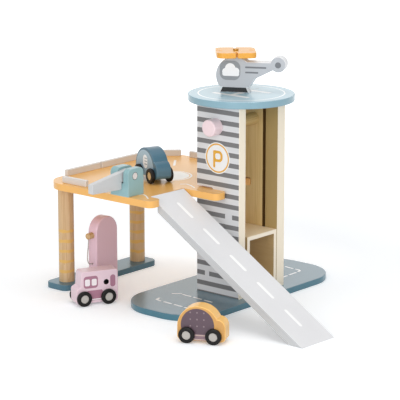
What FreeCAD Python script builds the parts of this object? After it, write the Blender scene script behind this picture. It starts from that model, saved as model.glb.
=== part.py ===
import FreeCAD, Part
import math
import os
import re
import Sketcher

# Toy parking garage with a hand-wound lift.
# Frame: origin on the floor under the centre of the lift tower, +X to the side
# where the ramp comes down, +Y to the back, +Z up.  Millimetres.

doc = FreeCAD.newDocument("parking_garage")

# ---------------------------------------------------------------- driving sizes

drivingSizes = {
    # play between pieces
    "restGap": 0.2,          # under a piece that only lies on another one
    "sideGap": 0.4,          # beside a piece that slides or turns
    "shaftPlay": 0.06,       # radial, round a shaft in its hole
    "overcut": 1,            # how far a cutter runs past the face it opens
    "edgeRound": 1.2,        # softened edge of the painted boards
    "fineRound": 0.7,        # softened edge of the small pieces
    # base plate under the tower
    "plateThick": 9.3,
    "plateBehind": 94.5,
    "plateAhead": 57.4,
    "plateHalf": 174.3,
    "plateCorner": 62,
    # lift tower
    "towerLong": 80,
    "towerWide": 103.2,
    "wallTall": 281.2,
    "frontWallThick": 12.8,
    "backWallThick": 10.9,
    "backPanelThick": 6,
    "roofRadius": 77.2,
    "roofThick": 10.1,
    # upright groove in the back wall, which guides the lift
    "grooveWide": 5.6,
    "grooveAt": 15,
    "grooveFoot": 17,
    # deck
    "deckUnder": 155.8,
    "deckThick": 10,
    "deckLeft": 235,
    "deckFront": 171.6,
    "deckBack": 99.4,
    "deckRound": 36,
    "deckBackRound": 18,
    "deckChamfer": 37,
    "notchEdge": 46,
    "notchNear": 148,
    "stripEdge": 75.6,
    "lobeEnd": 23,
    "lobeRound": 9,
    "stripEnd": 16.8,
    "stripRound": 8,
    "tabEnd": 11,
    "tabGap": 1,
    "slotClear": 2.2,
    "slotRound": 3,
    # foot bar and posts
    "barLong": 204,
    "barWide": 45,
    "barThick": 9,
    "barMiddleX": -222.5,
    "barMiddleY": -60.6,
    "barCorner": 12,
    "postRadius": 11.6,
    "postFrontInset": 24.9,
    "postBackInset": 22.9,
    "spigotRadius": 6,
    "spigotLong": 6,
    # guard rails on the deck
    "railThick": 6,
    "railTall": 9.5,
    "railInset": 1,
    "railFrontInset": 8.4,
    "railFrontStart": -204.2,
    "railFrontLong": 48,
    "railLeftStart": -127.5,
    "railLeftLong": 72.2,
    "railLeftSecondStart": -52.4,
    "railLeftSecondLong": 101,
    "railCornerLong": 45,
    "railBackInset": 55,
    "railBackLong": 92,
    "railBackSecondStart": -78,
    "railBackSecondLong": 56,
    # ledge that carries the ramp
    "ledgeThick": 5,
    "ledgeWide": 52,
    "ledgeReach": 10,
    "ledgeGlued": 30,
    # ramp
    "rampWide": 69.4,
    "rampThick": 11.5,
    "rampRun": 281,
    "rampYaw": -1.9,
    "rampMiddleY": -111.6,
    # barrier
    "blockLong": 34.4,
    "blockDeep": 32.6,
    "blockTall": 40,
    "blockRight": -65.2,
    "blockRound": 8,
    "blockSlot": 12,
    "blockSlotAt": -80.6,
    "blockSlotFloor": 18.9,
    "pivotInset": 14.3,
    "pivotAbove": 28.9,
    "pivotRadius": 4.8,
    "armAt": -81.5,
    "armThick": 8.6,
    "armLong": 74.7,
    "armTipTop": -2.5,
    "armTipDeep": 13.8,
    "armHeelDeep": 19,
    "armLug": 8.5,
    "armTipRound": 2,
    # winding knob and its dowel
    "winderX": -4,
    "winderZ": 258,
    "winderRadius": 9,
    "journalRadius": 6,
    "journalDepth": 9,
    "knobRadius": 12.3,
    "knobLong": 17.5,
    "knobRound": 2,
    "knobBore": 12,
    # lift car
    "liftLong": 75,
    "liftSetback": 0.6,
    "liftFrontGap": 5.7,
    "liftTall": 88.4,
    "liftBoard": 5.8,
    "liftRest": 0.3,
    "guideTall": 60,
    "guideAbove": 18,
    "cordHole": 1.5,
    # screws and dowels of the tower
    "screwRadius": 2,
    "screwLong": 26,
    "screwHead": 4,
    "screwHeadDeep": 2.6,
    "screwSunk": 0.12,
    "screwSpread": 23,
    "dowelRadius": 3,
    "dowelLong": 14,
    "dowelInRoof": 6,
    "dowelAside": 7,
    # helicopter
    "heliX": -13.1,
    "heliY": 2.7,
    "heliYaw": 28,
    "heliThick": 20,
    "cabinRadius": 27.4,
    "cabinUp": 24.6,
    "skidLong": 43,
    "skidTop": 36,
    "skidTall": 7.8,
    "boomTop": 45.2,
    "boomEndUnder": 34,
    "boomFootX": 30,
    "boomFootUp": 20.5,
    "tailX": 63.8,
    "tailUp": 42.5,
    "tailRadius": 11.3,
    "rotorSpan": 57.5,
    "rotorNotchWide": 3.2,
    "rotorNotchDeep": 9,
    "rotorThick": 7.8,
    "rotorTipRound": 10,
    "rotorTurn": 15,
    "rotorScrewRadius": 2,
    "rotorScrewLong": 22,
    "rotorHeadRadius": 4,
    "rotorHeadTall": 1.6,
    # fuel pump
    "pumpX": -181,
    "pumpY": -102.5,
    "pumpThick": 17.3,
    "pumpCrown": 23.1,
    "pumpTall": 109,
    "pumpRound": 2.2,
    "nozzleRadius": 4.7,
    "nozzleOut": 9.4,
    "nozzleTipRadius": 3.7,
    "nozzleTipLong": 8,
    "nozzleUp": 82.8,
    "holsterPlay": 0.4,
    "hoseRadius": 0.85,
    "hoseHoleRadius": 1.6,
    "hoseHoleDeep": 1.2,
    "hoseInNozzle": 2.4,
    "hoseAtNozzle": 7.6,
    "hoseUp": 39.5,
    # cars
    "carThick": 24,
    "carClear": 3,
    "blueClear": 7,
    "wheelBase": 37.5,
    "tyreRadius": 11.25,
    "tyreWide": 5.2,
    "tyreRound": 1.4,
    "hubRadius": 6,
    "hubDeep": 0.8,
    "hubThick": 3.2,
    "wheelGap": 0.5,
    "axleRadius": 2.2,
    "axleInHub": 1.9,
    "chassisRound": 6,
    "yellowDomeX": -3.6,
    "yellowDomeUp": 22.3,
    "yellowDomeRadius": 29.3,
    "yellowNotchX": 22.8,
    "yellowNoseX": 34.6,
    "yellowNoseUp": 22.9,
    "yellowNoseRadius": 12.1,
    "blueDomeX": -4.7,
    "blueDomeUp": 18.4,
    "blueDomeRadius": 30.5,
    "blueNotchX": 22.6,
    "blueNoseX": 33.1,
    "blueNoseUp": 18.2,
    "blueNoseRadius": 14,
    "vanTall": 50.5,
    "vanTail": 34.7,
    "vanScreen": 21.5,
    "vanScreenLean": 1.4,
    "vanSill": 28.6,
    "vanBonnet": 24.6,
    "vanNose": 29.6,
    "vanRound": 4,
    "fuelHoleX": -16.3,
    "fuelHoleUp": 32.6,
    "fuelHoleRadius": 4.1,
    "fuelHoleDeep": 13,
    # where the cars stand: middle of the wheelbase and heading
    "yellowCarX": 110.4,
    "yellowCarY": -215.4,
    "yellowCarYaw": 25.8,
    "pinkVanX": -132,
    "pinkVanY": -176.8,
    "pinkVanYaw": -115.4,
    "blueCarX": -113.1,
    "blueCarY": -64.2,
    "blueCarYaw": -20.8,
}

sheet = doc.addObject("Spreadsheet::Sheet", "Sizes")
for row, (alias, number) in enumerate(drivingSizes.items(), start=1):
    sheet.set(f"A{row}", alias)
    sheet.set(f"B{row}", str(number))
    sheet.setAlias(f"B{row}", alias)
doc.recompute()


def size(alias):
    return float(sheet.get(alias))


# ---------------------------------------------------------------- building helpers

subParts = []


def expression(text):
    """The text of an expression, with every alias pointed at the sheet."""
    return re.sub(r"[A-Za-z]\w*", lambda word: sheetName(word.group()), str(text))


def sheetName(word):
    return f"Sizes.{word}" if word in drivingSizes else word


def bind(thing, **properties):
    """Bind properties of an object to expressions of the sheet's cells."""
    for name, text in properties.items():
        thing.setExpression(name, expression(text))
    return thing


def place(thing, x=0, y=0, z=0, turn=0, axis=(0, 0, 1)):
    """Put an object at x, y, z, turned by an angle about an axis."""
    thing.Placement.Rotation = FreeCAD.Rotation(FreeCAD.Vector(*axis), 1)
    thing.setExpression("Placement.Rotation.Angle", expression(turn))
    for direction, text in zip("xyz", (x, y, z)):
        thing.setExpression(f"Placement.Base.{direction}", expression(text))
    return thing


def subPart(thing, label):
    """Name an object as a sub-part, which is written to its own file."""
    thing.Label = label
    subParts.append(thing)
    return thing


def planeOf(body, role):
    return next(plane for plane in body.Origin.OriginFeatures if plane.Role == role)


def arcBetween(start, end, radius, bulge):
    """The smaller arc from start to end; bulge 1 leaves its centre on the left."""
    chord = end - start
    across = FreeCAD.Vector(-chord.y, chord.x, 0).normalize()
    middle = (start + end) * 0.5
    rise = math.sqrt(max(radius**2 - (chord.Length / 2) ** 2, 0))
    centre = middle + across * (rise * bulge)
    crown = centre - across * (radius * bulge)
    return Part.Arc(start, crown, end)


def outline(name, plane, points, arcs=None):
    """A body with one closed sketch: points maps names to places, arcs maps the name
    of a side's first point to the radius of that side."""
    arcs = arcs or {}
    body = doc.addObject("PartDesign::Body", name)
    sketch = body.newObject("Sketcher::SketchObject", name + "_sketch")
    sketch.AttachmentSupport = [(planeOf(body, plane), "")]
    sketch.MapMode = "FlatFace"
    for index, (across, up) in enumerate(points.values()):
        sketch.addGeometry(Part.Point(FreeCAD.Vector(index + 1, index + 1, 0)), True)
        for kind, text in (("DistanceX", across), ("DistanceY", up)):
            number = sketch.addConstraint(Sketcher.Constraint(kind, -1, 1, index, 1, index + 1))
            sketch.setExpression(f"Constraints[{number}]", expression(text))
    doc.recompute()
    corners = [sketch.getPoint(index, 1) for index in range(len(points))]
    for index, pointName in enumerate(points):
        following = (index + 1) % len(points)
        start, end = corners[index], corners[following]
        if pointName in arcs:
            radius = size(arcs[pointName])
            side = sketch.addGeometry(arcBetween(start, end, radius, 1), False)
            first, last = endsOf(sketch, side, start)
        else:
            side = sketch.addGeometry(Part.LineSegment(start, end), False)
            first, last = 1, 2
        sketch.addConstraint(Sketcher.Constraint("Coincident", side, first, index, 1))
        sketch.addConstraint(Sketcher.Constraint("Coincident", side, last, following, 1))
        if pointName in arcs:
            number = sketch.addConstraint(Sketcher.Constraint("Radius", side, radius))
            sketch.setExpression(f"Constraints[{number}]", expression(arcs[pointName]))
    doc.recompute()
    places = dict(zip(points, corners))
    return body, sketch, places


def endsOf(sketch, side, start):
    """Which end of an arc is the given start: 1 first or 2 first."""
    return (1, 2) if sketch.getPoint(side, 1).distanceToPoint(start) < 1e-4 else (2, 1)


def board(name, plane, points, thick, arcs=None, rounds=None, soft=None, centred=False):
    """A flat piece: a sketch padded by its thickness, with rounded corners and edges."""
    body, sketch, places = outline(name, plane, points, arcs)
    pad = body.newObject("PartDesign::Pad", name + "_pad")
    pad.Profile = sketch
    pad.SideType = "Symmetric" if centred else "One side"
    bind(pad, Length=thick)
    doc.recompute()
    for radius, names in (rounds or {}).items():
        corners = [sketch.Placement.multVec(places[corner]) for corner in names]
        edges = edgesAt(body.Tip.Shape, corners, normalOf(sketch))
        addFillet(body, edges, radius)
    if soft:
        addFillet(body, rimEdges(body.Tip.Shape, normalOf(sketch)), soft)
    return body


def disc(name, plane, radius, thick, soft, rims):
    """A round board about its body's own axis; rims picks, by their middles, the
    rims that are softened."""
    body = doc.addObject("PartDesign::Body", name)
    sketch = body.newObject("Sketcher::SketchObject", name + "_sketch")
    sketch.AttachmentSupport = [(planeOf(body, plane), "")]
    sketch.MapMode = "FlatFace"
    middle = FreeCAD.Vector(0, 0, 0)
    sketch.addGeometry(Part.Circle(middle, FreeCAD.Vector(0, 0, 1), size(radius)), False)
    sketch.addConstraint(Sketcher.Constraint("Coincident", 0, 3, -1, 1))
    number = sketch.addConstraint(Sketcher.Constraint("Radius", 0, size(radius)))
    sketch.setExpression(f"Constraints[{number}]", expression(radius))
    pad = body.newObject("PartDesign::Pad", name + "_pad")
    pad.Profile = sketch
    bind(pad, Length=thick)
    doc.recompute()
    edges = [f"Edge{index}" for index, edge in enumerate(pad.Shape.Edges, start=1)
             if edge.isClosed() and rims(edge.BoundBox.Center)]
    addFillet(body, edges, soft)
    return body


def normalOf(sketch):
    return sketch.Placement.Rotation.multVec(FreeCAD.Vector(0, 0, 1))


def addFillet(body, edges, radius):
    rounded = body.Tip
    fillet = body.newObject("PartDesign::Fillet", body.Name + "_fillet")
    fillet.Base = (rounded, edges)
    bind(fillet, Radius=radius)
    doc.recompute()


def edgesAt(shape, corners, direction):
    """Names of the straight edges along a direction that pass through the corners."""
    names = []
    for index, edge in enumerate(shape.Edges, start=1):
        if edge.Curve.TypeId != "Part::GeomLine":
            continue
        along = edge.Curve.Direction
        if abs(along.dot(direction)) < 0.999:
            continue
        start = edge.Vertexes[0].Point
        if any(start.distanceToLine(corner, direction) < 1e-3 for corner in corners):
            names.append(f"Edge{index}")
    return names


def rimEdges(shape, direction):
    """Names of the edges round the two flat faces of a board."""
    names = []
    for index, edge in enumerate(shape.Edges, start=1):
        reach = [vertex.Point.dot(direction) for vertex in edge.Vertexes]
        box = edge.BoundBox
        spread = abs(box.XLength * direction.x) + abs(box.YLength * direction.y)
        spread += abs(box.ZLength * direction.z)
        if max(reach) - min(reach) < 1e-4 and spread < 1e-3:
            names.append(f"Edge{index}")
    return names


def cylinder(name, radius, height, x=0, y=0, z=0, along="z"):
    """A round bar; along names the direction in which it runs from its foot."""
    turns = {"z": (0, (0, 0, 1)), "x": (90, (0, 1, 0)), "y": (-90, (1, 0, 0))}
    thing = doc.addObject("Part::Cylinder", name)
    bind(thing, Radius=radius, Height=height)
    turn, axis = turns[along]
    return place(thing, x, y, z, turn, axis)


def block(name, length, width, height, x=0, y=0, z=0):
    thing = doc.addObject("Part::Box", name)
    bind(thing, Length=length, Width=width, Height=height)
    return place(thing, x, y, z)


def fuse(name, pieces):
    thing = doc.addObject("Part::MultiFuse", name)
    thing.Shapes = pieces
    thing.Refine = True
    return thing


def group(name, pieces):
    thing = doc.addObject("Part::Compound", name)
    thing.Links = pieces
    return thing


def cut(name, base, tools):
    thing = doc.addObject("Part::Cut", name)
    thing.Base = base
    thing.Tool = tools[0] if len(tools) == 1 else fuse(name + "_tools", tools)
    return thing


def rectangle(left, right, bottom, top):
    return {
        "leftBottom": (left, bottom),
        "rightBottom": (right, bottom),
        "rightTop": (right, top),
        "leftTop": (left, top),
    }


rectangleCorners = ["leftBottom", "rightBottom", "rightTop", "leftTop"]
deckTop = "(deckUnder + deckThick)"
wallTop = "(plateThick + wallTall)"
roofTop = "(plateThick + wallTall + roofThick)"
postPlaces = [
    ("front", "barMiddleY - barLong / 2 + postFrontInset"),
    ("back", "barMiddleY + barLong / 2 - postBackInset"),
]


# ---------------------------------------------------------------- tower

def screwPlaces():
    """Two screws under the front wall and two under the back wall."""
    frontY = "(frontWallThick - towerWide) / 2"
    backY = "towerWide / 2 - backPanelThick - backWallThick / 2"
    return [(side + "screwSpread", y) for y in (frontY, backY) for side in ("-", "")]


def screwShape(name, x, y, spare="0"):
    """A countersunk screw that points up out of the plate's underside."""
    shank = cylinder(name + "_shank", f"screwRadius + {spare}", f"screwLong + {spare}", x, y, 0)
    head = doc.addObject("Part::Cone", name + "_head")
    bind(head, Radius1=f"screwHead + {spare}", Radius2=f"screwRadius + {spare}")
    bind(head, Height="screwHeadDeep")
    place(head, x, y, "screwSunk")
    return fuse(name, [shank, head])


def screws(name, spare="0"):
    pieces = []
    for index, (x, y) in enumerate(screwPlaces()):
        pieces.append(screwShape(f"{name}_{index}", x, y, spare))
    return pieces


def dowelPlaces():
    return [(side + "screwSpread", y) for side, y in (
        ("-", "(frontWallThick - towerWide) / 2"),
        ("", "(frontWallThick - towerWide) / 2"),
        ("-", "towerWide / 2 - backPanelThick - backWallThick / 2"),
        ("dowelAside + ", "towerWide / 2 - backPanelThick - backWallThick / 2"),
    )]


def dowels(name, spare="0"):
    pieces = []
    for index, (x, y) in enumerate(dowelPlaces()):
        foot = f"{wallTop} + dowelInRoof - dowelLong - {spare}"
        radius = f"dowelRadius + {spare}"
        pieces.append(cylinder(f"{name}_{index}", radius, f"dowelLong + 2 * {spare}", x, y, foot))
    return pieces


def makeBasePlate():
    outlinePoints = rectangle("-plateBehind", "plateAhead", "-plateHalf", "plateHalf")
    plate = board("plate_board", "XY_Plane", outlinePoints, "plateThick",
                  rounds={"plateCorner": rectangleCorners}, soft="edgeRound")
    subPart(cut("plate", plate, screws("plate_hole", "shaftPlay")), "base_plate")
    subPart(group("screw_group", screws("screw")), "base_screws")


def slotPoints():
    """The side slot that takes the deck's tab, open towards -X."""
    bottom = "deckUnder - plateThick"
    top = "deckUnder - plateThick + deckThick + slotClear"
    end = "tabGap - tabEnd"
    return {
        "slotTopOpen": ("-towerLong / 2", top),
        "slotTopEnd": (end, top),
        "slotBottomEnd": (end, bottom),
        "slotBottomOpen": ("-towerLong / 2", bottom),
    }


def wallPoints(cutOut=None):
    points = {
        "footLeft": ("-towerLong / 2", "0"),
        "footRight": ("towerLong / 2", "0"),
        "topRight": ("towerLong / 2", "wallTall"),
    }
    points.update(cutOut or {})
    points["topLeft"] = ("-towerLong / 2", "wallTall")
    points.update(slotPoints())
    return points


def makeFrontWall():
    wall = board("front_wall_board", "XZ_Plane", wallPoints(), "frontWallThick",
                 rounds={"slotRound": ["slotTopEnd", "slotBottomEnd"]})
    place(wall, y="frontWallThick - towerWide / 2", z="plateThick")
    bearing = cylinder("front_bearing", "journalRadius + shaftPlay", "frontWallThick + 2 * overcut",
                       "winderX", "-towerWide / 2 - overcut", "winderZ", "y")
    holes = [bearing] + screws("front_screw_hole", "shaftPlay")
    holes += dowels("front_dowel_hole", "shaftPlay")
    subPart(cut("front_wall", wall, holes), "tower_front_wall")


def makeBackWall():
    halfGroove = "grooveWide / 2"
    groove = {
        "grooveTopRight": (f"grooveAt + {halfGroove}", "wallTall"),
        "grooveFootRight": (f"grooveAt + {halfGroove}", "grooveFoot"),
        "grooveFootLeft": (f"grooveAt - {halfGroove}", "grooveFoot"),
        "grooveTopLeft": (f"grooveAt - {halfGroove}", "wallTall"),
    }
    wall = board("back_wall_board", "XZ_Plane", wallPoints(groove), "backWallThick",
                 rounds={"slotRound": ["slotTopEnd", "slotBottomEnd"]})
    place(wall, y="towerWide / 2 - backPanelThick", z="plateThick")
    bearing = cylinder("back_bearing", "journalRadius + shaftPlay", "backWallThick + 2 * overcut",
                       "winderX", "towerWide / 2 - backPanelThick - backWallThick - overcut",
                       "winderZ", "y")
    holes = [bearing] + screws("back_screw_hole", "shaftPlay")
    holes += dowels("back_dowel_hole", "shaftPlay")
    subPart(cut("back_wall", wall, holes), "tower_back_wall")
    panel = board("back_panel_board", "XZ_Plane", wallPoints(), "backPanelThick",
                  rounds={"slotRound": ["slotTopEnd", "slotBottomEnd"]})
    place(panel, y="towerWide / 2", z="plateThick")
    subPart(panel, "tower_back_panel")


def makeRoof():
    body = disc("roof_board", "XY_Plane", "roofRadius", "roofThick", "edgeRound",
                lambda middle: True)
    place(body, z=wallTop)
    subPart(cut("roof", body, dowels("roof_dowel_hole", "shaftPlay")), "roof_disc")
    subPart(group("dowel_group", dowels("dowel")), "roof_dowels")


# ---------------------------------------------------------------- deck

def makeDeck():
    wallFront = "-towerWide / 2"
    shaftFront = "frontWallThick - towerWide / 2"
    shaftBack = "towerWide / 2 - backPanelThick - backWallThick"
    shaftSide = "-towerLong / 2 - sideGap"
    points = {
        "frontLeft": ("-deckLeft", "-deckFront"),
        "lobeFront": ("-lobeEnd", "-deckFront"),
        "lobeInner": ("-lobeEnd", "-notchNear"),
        "notchNearCorner": ("-notchEdge", "-notchNear"),
        "notchFarCorner": ("-notchEdge", "-stripEdge"),
        "stripNear": ("stripEnd", "-stripEdge"),
        "stripFar": ("stripEnd", wallFront),
        "frontTabOuter": ("-tabEnd", wallFront),
        "frontTabInner": ("-tabEnd", shaftFront),
        "shaftFrontCorner": (shaftSide, shaftFront),
        "shaftBackCorner": (shaftSide, shaftBack),
        "backTabInner": ("-tabEnd", shaftBack),
        "backRight": ("-tabEnd", "deckBack"),
        "chamferBack": ("deckChamfer - deckLeft", "deckBack"),
        "chamferLeft": ("-deckLeft", "deckBack - deckChamfer"),
    }
    rounds = {
        "deckRound": ["frontLeft"],
        "deckBackRound": ["backRight"],
        "lobeRound": ["lobeFront", "lobeInner"],
        "stripRound": ["stripNear", "stripFar"],
    }
    deck = board("deck_board", "XY_Plane", points, "deckThick", rounds=rounds)
    place(deck, z="deckUnder")
    sockets = []
    for name, y in postPlaces:
        sockets.append(cylinder(f"deck_socket_{name}", "spigotRadius + shaftPlay",
                                "spigotLong + restGap", "barMiddleX", y, "deckUnder"))
    subPart(cut("deck_cut", deck, sockets), "deck")


def makeFootBar():
    points = rectangle("-barWide / 2", "barWide / 2", "-barLong / 2", "barLong / 2")
    bar = board("bar_board", "XY_Plane", points, "barThick",
                rounds={"barCorner": rectangleCorners}, soft="edgeRound")
    place(bar, "barMiddleX", "barMiddleY")
    sockets = []
    for name, y in postPlaces:
        sockets.append(cylinder(f"bar_socket_{name}", "spigotRadius + shaftPlay",
                                "spigotLong + restGap + overcut", "barMiddleX", y,
                                "barThick - spigotLong - restGap"))
    subPart(cut("bar_cut", bar, sockets), "foot_bar")


def makePosts():
    for name, y in postPlaces:
        trunk = cylinder(f"post_trunk_{name}", "postRadius", "deckUnder - barThick",
                         "barMiddleX", y, "barThick")
        spigot = cylinder(f"post_spigot_{name}", "spigotRadius",
                          "deckUnder - barThick + 2 * spigotLong",
                          "barMiddleX", y, "barThick - spigotLong")
        subPart(fuse(f"post_{name}_piece", [trunk, spigot]), f"deck_post_{name}")


def makeRail(label, length, x, y, turn="0"):
    """A guard rail that runs along its own +X from its place, inside edge at +Y."""
    points = rectangle("0", length, "0", "railThick")
    rail = board(label + "_board", "XY_Plane", points, "railTall",
                 rounds={"edgeRound": rectangleCorners}, soft="fineRound")
    place(rail, x, y, deckTop, turn)
    subPart(rail, label)


def makeRails():
    leftX = "railInset + railThick - deckLeft"
    backY = "deckBack - railInset - railThick"
    chamferSlack = "(deckChamfer * sqrt(2) - railCornerLong) / 2"
    makeRail("rail_front", "railFrontLong", "railFrontStart", "railFrontInset - deckFront")
    makeRail("rail_left_front", "railLeftLong", leftX, "railLeftStart", "90")
    makeRail("rail_left_back", "railLeftSecondLong", leftX, "railLeftSecondStart", "90")
    makeRail("rail_corner", "railCornerLong",
             f"({chamferSlack} + railInset + railThick) / sqrt(2) - deckLeft",
             f"deckBack - deckChamfer + ({chamferSlack} - railInset - railThick) / sqrt(2)",
             "45")
    makeRail("rail_back_left", "railBackLong", "railBackInset - deckLeft", backY)
    makeRail("rail_back_right", "railBackSecondLong", "railBackSecondStart", backY)


# ---------------------------------------------------------------- ramp

def makeRamp():
    ledgePoints = rectangle("-notchEdge - ledgeGlued", "ledgeReach - notchEdge",
                            "rampMiddleY - ledgeWide / 2", "rampMiddleY + ledgeWide / 2")
    ledge = board("ledge_board", "XY_Plane", ledgePoints, "ledgeThick",
                  rounds={"edgeRound": ["rightBottom", "rightTop"]})
    place(ledge, z="deckUnder - ledgeThick")
    subPart(ledge, "ramp_ledge")

    slope = f"({deckTop} / rampRun)"
    deep = f"(rampThick * sqrt(1 + {slope} ^ 2))"
    swing = "(rampWide / 2 * sin(-rampYaw))"
    lap = f"(ledgeReach + 2 * {swing} + 2 * sideGap)"
    points = {
        "topEdge": ("0", "0"),
        "lapEdge": ("0", "restGap - deckThick"),
        "lapEnd": (lap, "restGap - deckThick"),
        "lapFoot": (lap, f"-{deep} - {slope} * {lap}"),
        "floorBack": (f"({deckTop} - {deep}) / {slope}", f"-{deckTop}"),
        "floorTip": ("rampRun", f"-{deckTop}"),
    }
    ramp = board("ramp_board", "XZ_Plane", points, "rampWide", soft="fineRound", centred=True)
    place(ramp, f"sideGap + {swing} - notchEdge", "rampMiddleY", deckTop, "rampYaw")
    subPart(ramp, "ramp")


# ---------------------------------------------------------------- barrier

def makeBarrier():
    halfBlock = "blockDeep / 2"
    pivotY = "(pivotInset - deckFront)"
    points = rectangle(f"-{halfBlock}", halfBlock, "0", "blockTall")
    solid = board("barrier_board", "YZ_Plane", points, "blockLong",
                  rounds={"blockRound": ["rightTop", "leftTop"]}, soft="fineRound")
    place(solid, "blockRight - blockLong", "blockDeep / 2 - deckFront", deckTop)
    slot = block("barrier_slot", "blockSlot", "blockDeep + 2 * overcut", "blockTall",
                 "blockSlotAt - blockSlot / 2", "-deckFront - overcut", f"{deckTop} + blockSlotFloor")
    pinHole = cylinder("barrier_pin_hole", "pivotRadius", "blockLong + 2 * overcut",
                       "blockRight - blockLong - overcut", pivotY, f"{deckTop} + pivotAbove", "x")
    subPart(cut("barrier_cut", solid, [slot, pinHole]), "barrier_block")

    pin = cylinder("barrier_pin_bar", "pivotRadius", "blockLong",
                   "blockRight - blockLong", pivotY, f"{deckTop} + pivotAbove", "x")
    subPart(pin, "barrier_pin")

    heel = "-pivotInset - sideGap"
    armPoints = {
        "tipTop": ("-armLong", "armTipTop"),
        "tipBottom": ("-armLong", "armTipTop - armTipDeep"),
        "heelBottom": (heel, "-armHeelDeep"),
        "heelInner": (heel, "-armLug"),
        "lugBottom": ("0", "-armLug"),
        "lugEnd": ("armLug", "0"),
        "lugTop": ("0", "armLug"),
    }
    arm = board("arm_board", "YZ_Plane", armPoints, "armThick",
                arcs={"lugBottom": "armLug", "lugEnd": "armLug"},
                rounds={"armTipRound": ["tipTop", "tipBottom", "heelBottom"]},
                soft="fineRound", centred=True)
    place(arm, "armAt", pivotY, f"{deckTop} + pivotAbove")
    armHole = cylinder("arm_hole", "pivotRadius + shaftPlay", "armThick + 2 * overcut",
                       "armAt - armThick / 2 - overcut", pivotY, f"{deckTop} + pivotAbove", "x")
    subPart(cut("arm_cut", arm, [armHole]), "barrier_arm")


# ---------------------------------------------------------------- winder and lift

def makeWinder():
    wallFace = "-towerWide / 2"
    shaftFront = "(frontWallThick - towerWide / 2)"
    shaftBack = "(towerWide / 2 - backPanelThick - backWallThick)"
    barrel = cylinder("spool_barrel", "winderRadius",
                      f"{shaftBack} - {shaftFront} - 2 * sideGap",
                      "winderX", f"{shaftFront} + sideGap", "winderZ", "y")
    journalStart = f"{wallFace} - sideGap - knobBore"
    journal = cylinder("spool_journal", "journalRadius",
                       f"{shaftBack} + journalDepth - ({journalStart})",
                       "winderX", journalStart, "winderZ", "y")
    subPart(fuse("spool_piece", [barrel, journal]), "lift_spool")

    body = disc("knob_body", "XZ_Plane", "knobRadius", "knobLong", "knobRound",
                lambda middle: middle.y < -1)
    place(body, "winderX", f"{wallFace} - sideGap", "winderZ")
    bore = cylinder("knob_bore", "journalRadius", "knobBore + overcut",
                    "winderX", journalStart, "winderZ", "y")
    subPart(cut("knob_cut", body, [bore]), "lift_knob")


def makeLift():
    left = "towerLong / 2 - liftSetback - liftLong"
    back = "(towerWide / 2 - backPanelThick - backWallThick - sideGap)"
    front = "(frontWallThick - towerWide / 2 + liftFrontGap)"
    wide = f"({back} - {front})"
    foot = "(plateThick + liftRest)"
    sideTall = "liftTall - 2 * liftBoard"
    subPart(block("lift_floor_board", "liftLong", wide, "liftBoard", left, front, foot),
            "lift_floor")
    shelf = block("lift_top_board", "liftLong", wide, "liftBoard", left, front,
                  f"{foot} + liftTall - liftBoard")
    cordHole = cylinder("lift_cord_hole", "cordHole", "liftBoard + 2 * overcut", "winderX",
                        f"({front} + {back}) / 2", f"{foot} + liftTall - liftBoard - overcut")
    subPart(cut("lift_top_cut", shelf, [cordHole]), "lift_top")
    subPart(block("lift_wall_front_board", "liftLong", "liftBoard", sideTall, left, front,
                  f"{foot} + liftBoard"), "lift_wall_front")
    subPart(block("lift_wall_back_board", "liftLong", "liftBoard", sideTall, left,
                  f"{back} - liftBoard", f"{foot} + liftBoard"), "lift_wall_back")
    subPart(block("lift_guide_board", "grooveWide - 2 * sideGap", "backWallThick - sideGap",
                  "guideTall", "grooveAt - grooveWide / 2 + sideGap", back,
                  f"{foot} + guideAbove"), "lift_guide")


# ---------------------------------------------------------------- helicopter

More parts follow.
